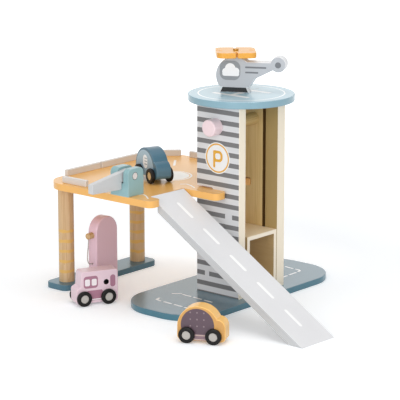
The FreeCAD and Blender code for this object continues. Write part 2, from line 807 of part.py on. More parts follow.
def makeHelicopter():
    foot = f"({roofTop} + restGap)"
    cabinFootX = "sqrt(cabinRadius ^ 2 - (cabinUp - skidTall) ^ 2)"
    boomStartX = "sqrt(cabinRadius ^ 2 - (boomTop - cabinUp) ^ 2)"
    tailUnderX = "tailX - sqrt(tailRadius ^ 2 - (tailUp - boomEndUnder) ^ 2)"
    tailTopX = "tailX - sqrt(tailRadius ^ 2 - (boomTop - tailUp) ^ 2)"
    points = {
        "skidLeft": ("-skidLong / 2", "0"),
        "skidRight": ("skidLong / 2", "0"),
        "skidTopRight": ("skidTop / 2", "skidTall"),
        "cabinFootRight": (cabinFootX, "skidTall"),
        "boomFoot": ("boomFootX", "boomFootUp"),
        "tailUnder": (tailUnderX, "boomEndUnder"),
        "tailEnd": ("tailX + tailRadius", "tailUp"),
        "tailTop": (tailTopX, "boomTop"),
        "boomStart": (boomStartX, "boomTop"),
        "cabinLeft": ("-cabinRadius", "cabinUp"),
        "cabinFootLeft": (f"-{cabinFootX}", "skidTall"),
        "skidTopLeft": ("-skidTop / 2", "skidTall"),
    }
    arcs = {
        "tailUnder": "tailRadius",
        "tailEnd": "tailRadius",
        "boomStart": "cabinRadius",
        "cabinLeft": "cabinRadius",
    }
    body = board("heli_board", "XZ_Plane", points, "heliThick", arcs=arcs, soft="edgeRound",
                 centred=True)
    cabinTop = "(cabinUp + cabinRadius)"
    screwFoot = f"{cabinTop} + sideGap + rotorThick + sideGap - rotorScrewLong"
    screwHole = cylinder("heli_screw_hole", "rotorScrewRadius + shaftPlay", "rotorScrewLong",
                         0, 0, f"{screwFoot} - shaftPlay")
    place(subPart(cut("heli_cut", body, [screwHole]), "heli_body"),
          "heliX", "heliY", foot, "heliYaw")

    shank = cylinder("rotor_screw_shank", "rotorScrewRadius", "rotorScrewLong",
                     0, 0, screwFoot)
    head = cylinder("rotor_screw_head", "rotorHeadRadius", "rotorHeadTall",
                    0, 0, f"{cabinTop} + 2 * sideGap + rotorThick")
    place(subPart(fuse("rotor_screw_piece", [shank, head]), "rotor_screw"),
          "heliX", "heliY", foot, "heliYaw")

    half = "(rotorSpan / 2)"
    notch = "(rotorNotchWide / 2)"
    rotorPoints = {}
    for index, (cosine, sine) in enumerate(((1, 0), (0, 1), (-1, 0), (0, -1))):
        for name, along, across in (("tip", half, f"-{half}"),
                                    ("notchRight", half, f"-{notch}"),
                                    ("notchRightFoot", f"({half} - rotorNotchDeep)", f"-{notch}"),
                                    ("notchLeftFoot", f"({half} - rotorNotchDeep)", notch),
                                    ("notchLeft", half, notch)):
            rotorPoints[f"{name}{index}"] = (
                f"{cosine} * {along} - {sine} * ({across})",
                f"{sine} * {along} + {cosine} * ({across})")
    tips = [name for name in rotorPoints if name.startswith("tip")]
    blades = board("rotor_board", "XY_Plane", rotorPoints, "rotorThick",
                   rounds={"rotorTipRound": tips}, soft="fineRound")
    hub = cylinder("rotor_hole", "rotorScrewRadius + shaftPlay", "rotorThick + 2 * overcut", 0, 0,
                   "-overcut")
    rotor = subPart(cut("rotor_cut", blades, [hub]), "heli_rotor")
    place(rotor, "heliX", "heliY", f"{foot} + {cabinTop} + sideGap", "heliYaw + rotorTurn")


# ---------------------------------------------------------------- fuel pump

arcShare = 0.45  # how much of the shorter run beside a corner its arc takes

# the hose's bends from the pump's hole up to the nozzle: how far aside, out from the
# pump's narrow face and above the hole
hoseBends = [(0, 7.6, 0.4), (-0.5, 10.4, 7.9), (-0.8, 9, 20.5), (-0.3, 7.8, 31.5)]


def tubeAlong(route, radius):
    """A tube along straight runs, joined by arcs as large as the runs allow."""
    edges = []
    length = 0
    start = route[0]
    for index in range(1, len(route) - 1):
        before, corner, after = route[index - 1:index + 2]
        inward = (before - corner).normalize()
        outward = (after - corner).normalize()
        shorter = min((before - corner).Length, (after - corner).Length)
        turn = math.pi - inward.getAngle(outward)
        reach = arcShare * shorter
        bend = reach / math.tan(turn / 2)
        first = corner + inward * reach
        last = corner + outward * reach
        bisector = (inward + outward).normalize()
        crown = corner + bisector * (bend / math.cos(turn / 2) - bend)
        edges.append(Part.LineSegment(start, first).toShape())
        edges.append(Part.Arc(first, crown, last).toShape())
        length += (first - start).Length + bend * turn
        print(f"hose bend {index}: radius {bend:.1f}, turn {math.degrees(turn):.0f}")
        start = last
    edges.append(Part.LineSegment(start, route[-1]).toShape())
    length += (route[-1] - start).Length
    path = Part.Wire(edges)
    direction = (route[1] - route[0]).normalize()
    section = Part.Wire([Part.Circle(route[0], direction, radius).toShape()])
    tube = path.makePipeShell([section], True, False)
    print(f"hose length {length:.1f}, volume ratio {tube.Volume / (math.pi * radius**2 * length):.4f}")
    return tube


def makePump():
    half = "pumpCrown"
    points = {
        "footLeft": (f"-{half}", "0"),
        "footRight": (half, "0"),
        "shoulderRight": (half, f"pumpTall - {half}"),
        "crown": ("0", "pumpTall"),
        "shoulderLeft": (f"-{half}", f"pumpTall - {half}"),
    }
    arcs = {"shoulderRight": half, "crown": half}
    slab = board("pump_board", "YZ_Plane", points, "pumpThick", arcs=arcs, soft="pumpRound",
                 centred=True)
    place(slab, "pumpX", "pumpY")
    face = f"(pumpY - {half})"
    holster = cylinder("pump_holster", "nozzleTipRadius + holsterPlay",
                       "nozzleTipLong + sideGap + overcut", "pumpX", f"{face} - overcut", "nozzleUp", "y")
    hoseHole = cylinder("pump_hose_hole", "hoseHoleRadius", "hoseHoleDeep + overcut",
                        "pumpX", f"{face} - overcut", "hoseUp", "y")
    subPart(cut("pump_cut", slab, [holster, hoseHole]), "pump_body")

    handle = cylinder("nozzle_handle", "nozzleRadius", "nozzleOut - sideGap",
                      "pumpX", f"{face} - nozzleOut", "nozzleUp", "y")
    tip = cylinder("nozzle_tip", "nozzleTipRadius", "nozzleTipLong + nozzleOut / 2",
                   "pumpX", f"{face} - nozzleOut / 2", "nozzleUp", "y")
    hoseEnd = cylinder("nozzle_hose_hole", "hoseRadius + shaftPlay", "nozzleRadius",
                       "pumpX", f"{face} - hoseAtNozzle",
                       "nozzleUp - nozzleRadius + hoseInNozzle - nozzleRadius")
    subPart(cut("nozzle_cut", fuse("nozzle_piece", [handle, tip]), [hoseEnd]), "pump_nozzle")

    pumpX = size("pumpX")
    faceY = size("pumpY") - size("pumpCrown")
    nozzleUnder = size("nozzleUp") - size("nozzleRadius")
    route = [FreeCAD.Vector(pumpX, faceY + size("hoseHoleDeep"), size("hoseUp"))]
    for aside, out, up in hoseBends:
        route.append(FreeCAD.Vector(pumpX + aside, faceY - out, size("hoseUp") + up))
    route.append(FreeCAD.Vector(pumpX, faceY - size("hoseAtNozzle"),
                                nozzleUnder + size("hoseInNozzle")))
    hose = doc.addObject("Part::Feature", "hose_piece")
    hose.Shape = tubeAlong(route, size("hoseRadius"))
    subPart(hose, "pump_hose")


# ---------------------------------------------------------------- cars

def ring(name, inner, outer, wide, x, y, edge):
    """A ring about the Y direction: its section turned round, with softened outer rims."""
    body, sketch, places = outline(name, "XY_Plane", rectangle(inner, outer, "0", wide))
    turned = body.newObject("PartDesign::Revolution", name + "_turned")
    turned.Profile = sketch
    turned.ReferenceAxis = (sketch, ["V_Axis"])
    turned.Angle = 360
    doc.recompute()
    reach = size(outer)
    rims = [f"Edge{index}" for index, rim in enumerate(turned.Shape.Edges, start=1)
            if rim.isClosed() and abs(rim.Curve.Radius - reach) < 1e-4]
    addFillet(body, rims, edge)
    return place(body, x, y, "tyreRadius")


def wheelSet(car, end, x, carPlace):
    """An axle with its two tyres and two hubs."""
    halfThick = "carThick / 2"
    tyreIn = f"({halfThick} + wheelGap)"
    tyreOut = f"({tyreIn} + tyreWide)"
    hubIn = f"({tyreOut} - hubDeep - hubThick)"
    axleEnd = f"({hubIn} + axleInHub)"
    axle = cylinder(f"{car}_{end}_axle_bar", "axleRadius", f"2 * {axleEnd}",
                    x, f"-{axleEnd}", "tyreRadius", "y")
    tyres = []
    hubs = []
    for side, tyreY, hubY in (("left", tyreIn, hubIn),
                              ("right", f"-{tyreOut}", f"-{hubIn} - hubThick")):
        name = f"{car}_{end}_{side}"
        tyres.append(ring(name + "_tyre_ring", "hubRadius", "tyreRadius", "tyreWide",
                          x, tyreY, "tyreRound"))
        disc = cylinder(name + "_disc", "hubRadius - shaftPlay", "hubThick",
                        x, hubY, "tyreRadius", "y")
        bore = cylinder(name + "_bore", "axleRadius", f"2 * {axleEnd}",
                        x, f"-{axleEnd}", "tyreRadius", "y")
        hubs.append(cut(name + "_hub", disc, [bore]))
    for label, pieces in (("axle", [axle]), ("tyres", tyres), ("hubs", hubs)):
        piece = group(f"{car}_{end}_{label}_group", pieces)
        place(subPart(piece, f"{car}_{end}_{label}"), *carPlace)


def carPoints(paint, clear):
    """A dome over the seats and a round bonnet in front of it."""
    dome = f"{paint}Dome"
    nose = f"{paint}Nose"
    notchX = f"{paint}NotchX"
    notchUp = f"{dome}Up + sqrt({dome}Radius ^ 2 - ({notchX} - {dome}X) ^ 2)"
    tailX = f"{dome}X - {dome}Radius"
    points = {
        "tailBottom": (tailX, clear),
        "noseBottom": (f"{nose}X", clear),
        "noseFront": (f"{nose}X", f"{nose}Up"),
        "notch": (notchX, notchUp),
        "tailBack": (tailX, f"{dome}Up"),
    }
    arcs = {"noseFront": f"{nose}Radius", "notch": f"{dome}Radius"}
    rounds = {"chassisRound": ["tailBottom", "noseBottom"]}
    return points, arcs, rounds


def vanPoints():
    """A box with a short bonnet."""
    points = {
        "tailBottom": ("-vanTail", "carClear"),
        "noseBottom": ("vanNose", "carClear"),
        "bonnetFront": ("vanNose", "vanBonnet"),
        "screenFoot": ("vanScreen + vanScreenLean", "vanSill"),
        "roofFront": ("vanScreen", "vanTall"),
        "roofBack": ("-vanTail", "vanTall"),
    }
    rounds = {"vanRound": ["tailBottom", "noseBottom", "bonnetFront", "roofFront", "roofBack"]}
    return points, {}, rounds


def makeCar(car, shape, foot):
    points, arcs, rounds = shape
    carPlace = (f"{car}X", f"{car}Y", foot, f"{car}Yaw")
    label = re.sub("([A-Z])", lambda letter: "_" + letter.group().lower(), car)
    slab = board(label + "_board", "XZ_Plane", points, "carThick", arcs=arcs, rounds=rounds,
                 soft="edgeRound", centred=True)
    holes = []
    for end, x in (("front", "wheelBase / 2"), ("rear", "-wheelBase / 2")):
        holes.append(cylinder(f"{label}_{end}_bearing", "axleRadius + shaftPlay",
                              "carThick + 2 * overcut", x, "-carThick / 2 - overcut", "tyreRadius", "y"))
        wheelSet(label, end, x, carPlace)
    if shape is van:
        holes.append(cylinder(f"{label}_fuel_hole", "fuelHoleRadius", "fuelHoleDeep + overcut",
                              "fuelHoleX", "carThick / 2 - fuelHoleDeep", "fuelHoleUp", "y"))
    place(subPart(cut(label + "_cut", slab, holes), label + "_body"), *carPlace)


# ---------------------------------------------------------------- assembly and export

makeBasePlate()
makeFrontWall()
makeBackWall()
makeRoof()
makeDeck()
makeFootBar()
makePosts()
makeRails()
makeRamp()
makeBarrier()
makeWinder()
makeLift()
makeHelicopter()
makePump()
van = vanPoints()
makeCar("yellowCar", carPoints("yellow", "carClear"), "0")
makeCar("pinkVan", van, "0")
makeCar("blueCar", carPoints("blue", "blueClear"), f"{deckTop} + restGap")

doc.recompute()
for thing in doc.Objects:
    if "Invalid" in thing.State or "Error" in thing.State:
        raise RuntimeError(f"{thing.Name} failed: {thing.State}")
for thing in subParts:
    if thing.Shape.isNull() or not thing.Shape.isValid():
        raise RuntimeError(f"{thing.Label} has no valid shape")

os.makedirs("parts", exist_ok=True)
for thing in subParts:
    thing.Shape.exportStep(f"parts/{thing.Label}.step")
print(f"{len(subParts)} sub-parts written")
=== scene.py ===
import math
from functools import reduce

import bpy
import numpy as np
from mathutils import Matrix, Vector


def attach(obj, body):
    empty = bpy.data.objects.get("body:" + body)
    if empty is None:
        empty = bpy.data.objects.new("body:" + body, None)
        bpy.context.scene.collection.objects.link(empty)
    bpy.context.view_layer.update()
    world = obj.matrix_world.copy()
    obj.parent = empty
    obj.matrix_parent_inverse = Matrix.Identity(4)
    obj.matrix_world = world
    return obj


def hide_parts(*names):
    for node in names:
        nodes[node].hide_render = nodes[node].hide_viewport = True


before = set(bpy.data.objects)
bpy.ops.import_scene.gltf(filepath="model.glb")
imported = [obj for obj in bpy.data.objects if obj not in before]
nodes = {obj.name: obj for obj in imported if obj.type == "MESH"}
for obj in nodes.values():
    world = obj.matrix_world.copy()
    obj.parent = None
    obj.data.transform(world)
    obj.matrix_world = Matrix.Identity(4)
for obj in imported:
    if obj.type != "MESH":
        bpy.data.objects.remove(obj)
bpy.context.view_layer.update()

# Toy parking garage with a hand-wound lift: finishes, printed marks, fuel hose, studio.
# The scene is in metres; settings and the insides of the materials are in millimetres.

millimetre = 0.001
print("frame loaded:", len(nodes), "nodes")


# Camera

cameraView = {
    "target": (-9.4, -80.9, 154.7),
    "azimuth": 40.549,
    "elevation": 13.221,
    "distance": 2847.07,
    "farthest": 100000,
    "lens": 178.92,
    "sensor": 36,
}


def makeCamera():
    turn = math.radians(cameraView["azimuth"])
    rise = math.radians(cameraView["elevation"])
    back = Vector((math.sin(turn) * math.cos(rise), -math.cos(turn) * math.cos(rise), math.sin(rise)))
    lensData = bpy.data.cameras.new("studioCamera")
    lensData.lens = cameraView["lens"]
    lensData.sensor_width = cameraView["sensor"]
    lensData.clip_end = cameraView["farthest"] * millimetre
    camera = bpy.data.objects.new("studioCamera", lensData)
    bpy.context.scene.collection.objects.link(camera)
    target = Vector(cameraView["target"]) * millimetre
    camera.location = target + back * cameraView["distance"] * millimetre
    camera.rotation_euler = (-back).to_track_quat("-Z", "Y").to_euler()
    bpy.context.scene.camera = camera


makeCamera()
print("camera placed")


# Colours and shader nodes in few words

def linear(code):
    # six hexadecimal digits through the screen's curve, to the four numbers that a colour socket takes
    shares = [int(code[start:start + 2], 16) / 255 for start in (0, 2, 4)]
    return [*(share / 12.92 if share <= 0.04045 else ((share + 0.055) / 1.055) ** 2.4
              for share in shares), 1]


def addNode(tree, kind, inputs=None, **settings):
    made = tree.nodes.new("ShaderNode" + kind)
    for name, value in settings.items():
        setattr(made, name, value)
    for key, value in (inputs or {}).items():
        if isinstance(value, bpy.types.NodeSocket):
            tree.links.new(value, made.inputs[key])
        else:
            made.inputs[key].default_value = value
    return made


def maths(tree, operation, *values, clamp=False):
    return addNode(tree, "Math", dict(enumerate(values)), operation=operation, use_clamp=clamp).outputs[0]


def vectors(tree, operation, *values, result=0):
    return addNode(tree, "VectorMath", dict(enumerate(values)), operation=operation).outputs[result]


def scaled(tree, vector, factor):
    return addNode(tree, "VectorMath", {0: vector, "Scale": factor}, operation="SCALE").outputs[0]


def noise(tree, point, scale=1, detail=2, **inputs):
    wanted = {"Vector": point, "Scale": scale, "Detail": detail, **inputs}
    return addNode(tree, "TexNoise", wanted).outputs["Fac"]


def varied(tree, middle, spread, noisy):
    # a value that a noise moves to both sides of its middle
    return maths(tree, "MULTIPLY_ADD", noisy, spread, middle - spread / 2)


def partsOf(tree, point):
    return addNode(tree, "SeparateXYZ", {0: point}).outputs


def flat(tree, point, across="X", up="Y"):
    # two of a point's three coordinates, as a vector with no depth
    parts = partsOf(tree, point)
    return addNode(tree, "CombineXYZ", {0: parts[across], 1: parts[up]}).outputs[0]


def inPieceFrame(tree, place=(0, 0, 0), turn=0):
    # object coordinates in millimetres, counted from a place and a turn in plan
    point = addNode(tree, "TexCoord").outputs["Object"]
    return addNode(tree, "Mapping", {
        "Vector": point,
        "Location": [part * millimetre for part in place],
        "Rotation": (0, 0, math.radians(turn)),
        "Scale": (millimetre,) * 3,
    }, vector_type="TEXTURE").outputs[0]


def facing(tree, axis, least=0.7):
    # 1 where the surface faces along an axis of the object, else 0
    normal = addNode(tree, "TexCoord").outputs["Normal"]
    return maths(tree, "GREATER_THAN", vectors(tree, "DOT_PRODUCT", normal, axis, result="Value"), least)


def farFromMiddle(tree, point, least):
    # 1 on the two broad sides of a board whose middle is at Y 0
    return maths(tree, "GREATER_THAN", maths(tree, "ABSOLUTE", partsOf(tree, point)["Y"]), least)


# Drawn shapes: each gives the distance from its edge, below zero inside

def stroke(tree, point, start, end, half):
    # a straight stroke with round ends: the point less its foot on the stroke
    start, end = (Vector((*place, 0)) for place in (start, end))
    span = end - start
    away = vectors(tree, "SUBTRACT", point, start)
    along = vectors(tree, "DOT_PRODUCT", away, span, result="Value")
    share = maths(tree, "MULTIPLY", along, 1 / span.length_squared, clamp=True)
    foot = scaled(tree, tuple(span), share)
    return maths(tree, "SUBTRACT", vectors(tree, "DISTANCE", away, foot, result="Value"), half)


def disc(tree, point, centre, radius):
    away = vectors(tree, "DISTANCE", point, (*centre, 0), result="Value")
    return maths(tree, "SUBTRACT", away, radius)


def panel(tree, point, centre, half, corner):
    # a rectangle with round corners
    away = vectors(tree, "ABSOLUTE", vectors(tree, "SUBTRACT", point, (*centre, 0)))
    past = vectors(tree, "SUBTRACT", away, (half[0] - corner, half[1] - corner, 0))
    parts = partsOf(tree, past)
    deepest = maths(tree, "MINIMUM", maths(tree, "MAXIMUM", parts[0], parts[1]), 0)
    outer = vectors(tree, "LENGTH", vectors(tree, "MAXIMUM", past, (0, 0, 0)), result="Value")
    return maths(tree, "SUBTRACT", maths(tree, "ADD", outer, deepest), corner)


def rimOf(tree, distance, half):
    # a line of the given half width along the edge of a shape
    return maths(tree, "SUBTRACT", maths(tree, "ABSOLUTE", distance), half)


def anyOf(tree, distances):
    return reduce(lambda first, second: maths(tree, "MINIMUM", first, second), distances)


def inside(tree, distance, soft=0.1):
    # 1 where a distance is below zero, 0 above, over a soft edge
    return addNode(tree, "MapRange", {"Value": distance, "From Min": -soft, "From Max": soft,
                                      "To Min": 1, "To Max": 0}).outputs[0]


def both(tree, *masks):
    return reduce(lambda first, second: maths(tree, "MULTIPLY", first, second), masks)


def either(tree, *masks):
    return reduce(lambda first, second: maths(tree, "MAXIMUM", first, second), masks)


def over(tree, colour, fresh, mask):
    # the Mix node's colour sockets are 6, 7 and output 2
    return addNode(tree, "Mix", {"Factor": mask, 6: colour, 7: fresh}, data_type="RGBA").outputs[2]


def printed(tree, colour, code, distance, *masks, soft=0.1):
    # a drawn shape in its own colour, kept to where every mask is 1
    return over(tree, colour, linear(code), both(tree, inside(tree, distance, soft), *masks))


# Materials

edgeWearAndHighlightSettings = {
    "radius": 1.1,
    "flatFrom": 0.995,  # cosine between the true and the rounded normal
    "sharpFrom": 0.86,
    "patchScale": 0.16,
    "patchDetail": 3,
    "patchGain": 1.6,
    "patchShift": -0.25,
}


def edgeWearAndHighlight(tree, point):
    # 1 along the edges, broken up by a noise, and 0 on the faces: where paler paint stands for wear and for
    # a painted highlight
    settings = edgeWearAndHighlightSettings
    eased = addNode(tree, "Bevel", {"Radius": settings["radius"] * millimetre}).outputs[0]
    normal = addNode(tree, "NewGeometry").outputs["Normal"]
    turned = vectors(tree, "DOT_PRODUCT", eased, normal, result="Value")
    edge = addNode(tree, "MapRange", {"Value": turned, "From Min": settings["flatFrom"],
                                      "From Max": settings["sharpFrom"]}).outputs[0]
    patches = noise(tree, point, settings["patchScale"], settings["patchDetail"])
    broken = maths(tree, "MULTIPLY_ADD", patches, settings["patchGain"], settings["patchShift"], clamp=True)
    return maths(tree, "MULTIPLY", edge, broken)


def newMaterial(name):
    material = bpy.data.materials.new(name)
    material.use_nodes = True
    tree = material.node_tree
    tree.nodes.clear()
    shader = addNode(tree, "BsdfPrincipled")
    output = addNode(tree, "OutputMaterial")
    tree.links.new(shader.outputs[0], output.inputs["Surface"])
    return material, tree, shader


def emboss(tree, shader, height, settings):
    bump = addNode(tree, "Bump", {"Height": height, "Strength": settings["relief"],
                                  "Distance": settings["reliefDepth"] * millimetre})
    tree.links.new(bump.outputs[0], shader.inputs["Normal"])


def dress(material, *names):
    for name in names:
        slots = nodes[name].data.materials
        slots.clear()
        slots.append(material)


# Painted wood: fibres show faintly through the coat, which is uneven and thin on the edges; the paler edges
# are partly this wear and partly a painted highlight.
# A piece's own settings go before these.

paintSettings = {
    "place": (0, 0, 0),
    "turn": 0,
    "fibres": (0.03, 0.7, 0.7),  # how fast the grain changes along X, Y and Z, per millimetre
    "fibreDetail": 4,
    "fibreBreak": 0.6,
    "fibreShade": 0.05,
    "cloudScale": 0.025,
    "cloudShade": 0.06,
    "peelScale": 0.9,
    "peelShare": 0.5,
    "edge": "F6F3EE",
    # how much the edges pale: partly wear, partly a painted highlight
    "wearAndHighlight": 0.3,
    "roughness": 0.38,
    "roughnessSpread": 0.16,
    "relief": 0.25,
    "reliefDepth": 0.12,
    "sheen": 0.2,
    "coat": 0.5,
    "coatRoughness": 0.2,
}


def painted(name, chosen, marks=None):
    settings = {**paintSettings, **chosen}
    material, tree, shader = newMaterial(name)
    point = inPieceFrame(tree, settings["place"], settings["turn"])
    fibrePoint = vectors(tree, "MULTIPLY", point, settings["fibres"])
    fibres = noise(tree, fibrePoint, detail=settings["fibreDetail"], Roughness=settings["fibreBreak"])
    clouds = noise(tree, point, settings["cloudScale"])
    peel = noise(tree, point, settings["peelScale"])
    colour = linear(settings["colour"])
    if marks:
        colour = marks(tree, point, colour)
    # paler edges: partly wear, partly a painted highlight
    wornAndLit = maths(tree, "MULTIPLY", edgeWearAndHighlight(tree, point), settings["wearAndHighlight"])
    colour = over(tree, colour, linear(settings["edge"]), wornAndLit)
    fibreShade = maths(tree, "MULTIPLY_ADD", fibres, settings["fibreShade"], 1)
    halfShade = (settings["fibreShade"] + settings["cloudShade"]) / 2  # so that the shade keeps about 1
    shade = maths(tree, "MULTIPLY_ADD", clouds, settings["cloudShade"],
                  maths(tree, "SUBTRACT", fibreShade, halfShade))
    tone = addNode(tree, "HueSaturation", {"Value": shade, "Color": colour}).outputs[0]
    tree.links.new(tone, shader.inputs["Base Color"])
    rough = varied(tree, settings["roughness"], settings["roughnessSpread"], peel)
    tree.links.new(rough, shader.inputs["Roughness"])
    height = maths(tree, "MULTIPLY_ADD", peel, settings["peelShare"], fibres)
    emboss(tree, shader, height, settings)
    shader.inputs["Specular IOR Level"].default_value = settings["sheen"]
    shader.inputs["Coat Weight"].default_value = settings["coat"]
    shader.inputs["Coat Roughness"].default_value = settings["coatRoughness"]
    return material


# Bare wood: long fibres and growth lines, between a piece's own pale and dark

woodSettings = {
    "fibreDetail": 6,
    "fibreBreak": 0.65,
    "growthScale": 0.16,
    "growthSway": 0.6,
    "rings": 7,
    "ringFrom": 0.7,
    "ringShare": 0.35,
    "paleAt": 0.2,
    "darkAt": 0.62,
    "roughness": 0.55,
    "roughnessSpread": 0.2,
    "relief": 0.3,
    "reliefDepth": 0.15,
}


def bareWood(name, chosen, marks=None):
    settings = {**woodSettings, **chosen}
    material, tree, shader = newMaterial(name)
    point = inPieceFrame(tree)
    longPoint = vectors(tree, "MULTIPLY", point, settings["fibres"])
    fibres = noise(tree, longPoint, detail=settings["fibreDetail"], Roughness=settings["fibreBreak"])
    growthPoint = scaled(tree, longPoint, settings["growthScale"])
    growth = noise(tree, growthPoint, Distortion=settings["growthSway"])
    rings = maths(tree, "FRACT", maths(tree, "MULTIPLY", growth, settings["rings"]))
    ringLine = addNode(tree, "MapRange", {"Value": rings, "From Min": settings["ringFrom"],
                                          "From Max": 1}).outputs[0]
    between = maths(tree, "MULTIPLY", fibres, 1 - settings["ringShare"])
    blend = maths(tree, "MULTIPLY_ADD", ringLine, settings["ringShare"], between)
    ramp = addNode(tree, "ValToRGB", {0: blend})
    for stop, place, code in zip(ramp.color_ramp.elements, ("paleAt", "darkAt"), ("pale", "dark")):
        stop.position = settings[place]
        stop.color = linear(settings[code])
    colour = ramp.outputs[0]
    if marks:
        colour = marks(tree, point, colour)
    tree.links.new(colour, shader.inputs["Base Color"])
    rough = varied(tree, settings["roughness"], settings["roughnessSpread"], fibres)
    tree.links.new(rough, shader.inputs["Roughness"])
    emboss(tree, shader, fibres, settings)
    return material


# Base plate and foot bar, with dashed parking bays on the plate and painted shade on the plate's side faces

plateSettings = {
    "colour": "617F8D",
    # painted shade: a darker paint for the plate's side faces than for its top
    "side": "427687",
    "coat": 0.7,
    "wearAndHighlight": 0.15,
    "line": "F6F8F8",
    "dashHalf": 1.7,
    "frontBay": [
        ((-54, -90), (-44.5, -82)), ((-39, -84), (-24.5, -84.6)), ((-17.5, -85), (-3, -86)),
        ((4.5, -86.6), (18, -87.6)), ((-53, -121), (-51.6, -128)), ((-51.6, -128), (-42.5, -130.3)),
        ((-34.6, -130.3), (-21, -131.2)), ((-13.8, -131.4), (0, -132.4)), ((6.5, -133), (20, -133.8)),
    ],
    "backBay": [
        ((-22, 136), (-16.5, 134.4)), ((-16.5, 134.4), (-7, 133.6)), ((0, 133.7), (5.4, 133.6)),
        ((5.4, 133.6), (10.2, 130)), ((10.2, 130), (10.8, 125.5)),
        ((11.2, 118), (11.8, 102.5)), ((12.3, 95), (12.6, 86)),
        ((-38, 134), (-46, 128)), ((-47, 119), (-47, 106)), ((-47, 98), (-47, 86)),
    ],
}


def bayMarks(tree, point, colour):
    place = flat(tree, point)
    half = plateSettings["dashHalf"]
    dashes = [stroke(tree, place, *dash, half)
              for dash in plateSettings["frontBay"] + plateSettings["backBay"]]
    top = facing(tree, (0, 0, 1))
    # painted shade: the side faces take a darker paint than the top
    paint = over(tree, linear(plateSettings["side"]), colour, top)
    return printed(tree, paint, plateSettings["line"], anyOf(tree, dashes), top)


footSettings = {"colour": "4B7384", "fibres": (0.7, 0.03, 0.7)}

dress(painted("platePaint", plateSettings, bayMarks), "base_plate")
dress(painted("footPaint", footSettings), "foot_bar")
print("plate and foot bar painted")


# Tower: printed stripes and the parking sign outside, bare board inside, with painted shade in the guide
# groove and on the inner face beyond it

boardEdge = {"colour": "FBF0DC", "share": 0.94}  # the pale cut edges of the tower's and the lift's boards

towerSettings = {
    "pale": "DEC48D",
    "dark": "D1B67D",
    "fibres": (0.6, 0.6, 0.02),
    "rings": 4,
    "roughness": 0.6,
    # painted shade in the guide groove
    "groove": "6E5026",
    "grooveAt": 15,
    "grooveHalf": 3,
    # painted shade on the inner face beyond the groove
    "shadeBeyondGroove": "9C8452",
    "shadeBeyondGrooveFrom": 15,
    "shadeBeyondGrooveShare": 0.8,
    "stripePale": "DADBDD",
    "stripeDark": "777778",
    "stripePitch": 15.147,
    "stripeTop": 283.7,
    "stripeTall": 6.9,
    "stripeSoft": 0.25,
    "printTo": 38.4,
    "gaps": [(19.5, 128.3, 6.5), (-21, 37.5, 4)],
    "gapCorner": 1,
}

signSettings = {
    "centre": (-1.6, 212.3),
    "white": "F1F1F0",
    "whiteRadius": 22.9,
    "orange": "E3AA3C",
    "ringRadius": 20.3,
    "ringHalf": 1.1,
    "letterHalf": 2,
    "letterStrokes": [((-6, -12.4), (-6, 9)), ((-6, 9), (1, 9)), ((-6, -3.6), (1, -3.6))],
    "letterBowl": {"centre": (0.8, 2.7), "half": (6.8, 6.3), "corner": 5},
}


def stripes(tree, place):
    settings = towerSettings
    pitch = settings["stripePitch"]
    above = maths(tree, "SUBTRACT", settings["stripeTop"] + pitch, partsOf(tree, place)[1])
    down = maths(tree, "MULTIPLY", maths(tree, "FRACT", maths(tree, "DIVIDE", above, pitch)), pitch)
    dark = inside(tree, maths(tree, "SUBTRACT", down, settings["stripeTall"]), settings["stripeSoft"])
    # a gap breaks one dark stripe
    gaps = [panel(tree, place, (across, up), (half, pitch / 3), settings["gapCorner"])
            for across, up, half in settings["gaps"]]
    whole = maths(tree, "SUBTRACT", 1, inside(tree, anyOf(tree, gaps)))
    return over(tree, linear(settings["stripePale"]), linear(settings["stripeDark"]),
                both(tree, dark, whole))


def parkingSign(tree, place, colour):
    settings = signSettings
    local = vectors(tree, "SUBTRACT", place, (*settings["centre"], 0))
    plain = printed(tree, colour, settings["white"], disc(tree, local, (0, 0), settings["whiteRadius"]))
    ring = rimOf(tree, disc(tree, local, (0, 0), settings["ringRadius"]), settings["ringHalf"])
    bowl = rimOf(tree, panel(tree, local, **settings["letterBowl"]), settings["letterHalf"])
    letter = [stroke(tree, local, *line, settings["letterHalf"]) for line in settings["letterStrokes"]]
    return printed(tree, plain, settings["orange"], anyOf(tree, [ring, bowl, *letter]))


def edgesFacing(tree):
    return either(tree, facing(tree, (1, 0, 0)), facing(tree, (-1, 0, 0)))


def cutEdges(tree, colour):
    edges = both(tree, edgesFacing(tree), boardEdge["share"])
    return over(tree, colour, linear(boardEdge["colour"]), edges)


def wallMarks(outward, sign):
    # stripes on the face that looks out along Y
    def marks(tree, point, colour):
        place = flat(tree, point, "X", "Z")
        pattern = stripes(tree, place)
        if sign:
            pattern = parkingSign(tree, place, pattern)
        face = facing(tree, (0, outward, 0))
        board = over(tree, cutEdges(tree, colour), linear(boardEdge["colour"]), face)
        # the print stops just short of the open edge
        short = maths(tree, "LESS_THAN", partsOf(tree, point)[0], towerSettings["printTo"])
        return over(tree, board, pattern, both(tree, face, short))
    return marks


def grooved(tree, point, colour):
    # painted shade inside the groove and on the inner face beyond it, pale on the cut edges
    settings = towerSettings
    across = partsOf(tree, point)[0]
    aside = maths(tree, "ABSOLUTE", maths(tree, "SUBTRACT", across, settings["grooveAt"]))
    groove = both(tree, edgesFacing(tree), maths(tree, "LESS_THAN", aside, settings["grooveHalf"]))
    beyond = both(tree, facing(tree, (0, -1, 0)),
                  maths(tree, "GREATER_THAN", across, settings["shadeBeyondGrooveFrom"]))
    board = over(tree, colour, linear(settings["shadeBeyondGroove"]), both(tree, beyond, settings["shadeBeyondGrooveShare"]))
    return over(tree, cutEdges(tree, board), linear(settings["groove"]), groove)


